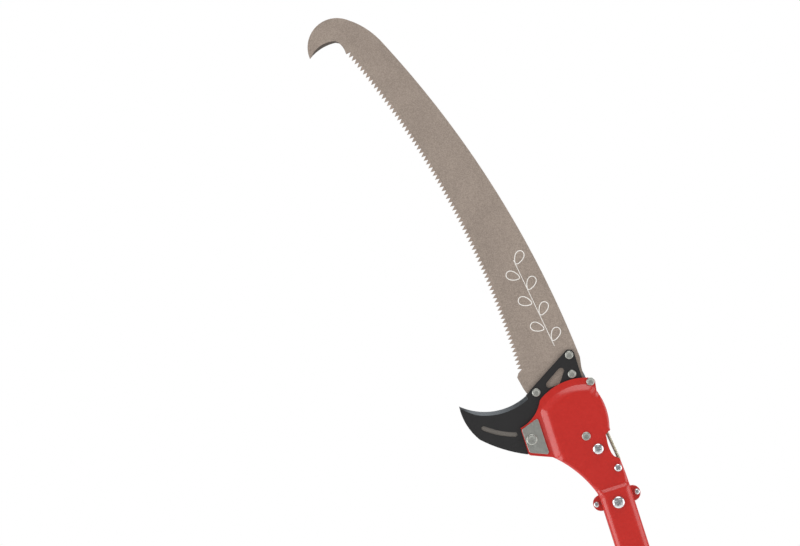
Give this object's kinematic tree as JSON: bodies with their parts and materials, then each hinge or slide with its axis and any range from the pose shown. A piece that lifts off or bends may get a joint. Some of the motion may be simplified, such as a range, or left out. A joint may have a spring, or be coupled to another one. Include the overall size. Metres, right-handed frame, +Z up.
{
  "type": "telescoping pole saw",
  "caption": "Pruning saw on a telescoping pole, with a curved hooked blade and a cutting claw on a sprung swinging carrier in a pressed red head.",
  "frame": {"origin": "centre of the hanging hole in the end cap, on the axis of the pole", "axes": "+Z up the pole to the saw head, +Y along the hanging hole to the back, -Y is the front face, and the blade's teeth point to -X"},
  "size_m": [0.1896, 0.048, 1.5409],
  "materials": {
    "red_enamel": "gloss enamel over pressed steel",
    "red_nylon": "moulded, light sheen",
    "anodised_aluminium": "satin clear anodised extrusion",
    "black_nylon": "moulded glass-filled nylon, fine texture",
    "grip_rubber": "matt moulded rubber",
    "white_nylon": "smooth moulded nylon",
    "zinc_plate": "zinc plated, satin",
    "bright_zinc": "bright zinc plated",
    "black_plate": "black baked paint, ground cutting edge",
    "blade_steel": "fine ground, dull nickel plated",
    "bush_bronze": "turned",
    "spring_steel": "drawn wire"
  },
  "bodies": {
    "outer_section": {"end_cap": "black_nylon", "end_cap_pin": "zinc_plate", "outer_tube": "anodised_aluminium", "grip": "grip_rubber", "lower_collar": "black_nylon", "lower_collar_screws": "bright_zinc", "lower_lever_pin": "zinc_plate", "lower_clamp_pad": "grip_rubber"},
    "lower_lock_lever": {"lower_lever": "red_nylon"},
    "middle_section": {"middle_tube": "anodised_aluminium", "middle_glide": "white_nylon", "upper_collar": "black_nylon", "upper_collar_screws": "bright_zinc", "upper_lever_pin": "zinc_plate", "upper_clamp_pad": "grip_rubber"},
    "upper_lock_lever": {"upper_lever": "red_nylon"},
    "head_section": {"inner_tube": "anodised_aluminium", "inner_glide": "white_nylon", "front_shell": "red_enamel", "rear_shell": "red_enamel", "pivot_pin": "zinc_plate", "pivot_spacers": "zinc_plate", "stop_rivet": "zinc_plate", "dome_rivet": "zinc_plate", "dome_rivet_sleeve": "zinc_plate", "head_bolt": "bright_zinc", "head_bolt_sleeve": "zinc_plate", "head_nut": "bright_zinc", "spring_bolt": "bright_zinc", "spring_sleeve": "zinc_plate", "spring_nut": "bright_zinc", "neck_bolt": "bright_zinc", "neck_nut": "bright_zinc", "ear_screws": "bright_zinc", "ear_nuts": "bright_zinc", "front_guide_plate": "zinc_plate", "rear_guide_plate": "zinc_plate", "guide_rivet": "bright_zinc", "return_spring": "spring_steel"},
    "saw_carrier": {"saw_blade": "blade_steel", "hook_plate": "black_plate", "backing_plate": "zinc_plate", "hub_spacer": "zinc_plate", "blade_rivets": "zinc_plate", "pivot_bush": "bush_bronze", "spring_post": "zinc_plate"}
  },
  "joints": [
    {"name": "middle_slide", "type": "slide", "parent": "outer_section", "child": "middle_section", "axis": [0, 0, 1], "range_m": [0, 0.62]},
    {"name": "head_slide", "type": "slide", "parent": "middle_section", "child": "head_section", "axis": [0, 0, 1], "range_m": [0, 0.62]},
    {"name": "lower_lever_hinge", "type": "hinge", "parent": "outer_section", "child": "lower_lock_lever", "pos_m": [0.0261, -0.0165, 0.801], "axis": [0, 0, -1], "range_deg": [0, 110]},
    {"name": "upper_lever_hinge", "type": "hinge", "parent": "middle_section", "child": "upper_lock_lever", "pos_m": [0.0241, -0.0145, 0.861], "axis": [0, 0, -1], "range_deg": [0, 110]},
    {"name": "saw_swing", "type": "hinge", "parent": "head_section", "child": "saw_carrier", "pos_m": [-0.0355, 0, 1.078], "axis": [0, -1, 0], "range_deg": [0, 27], "stiffness_Nm_per_rad": 2, "springref_deg": -20.05, "deforming": ["return_spring"]}
  ]
}
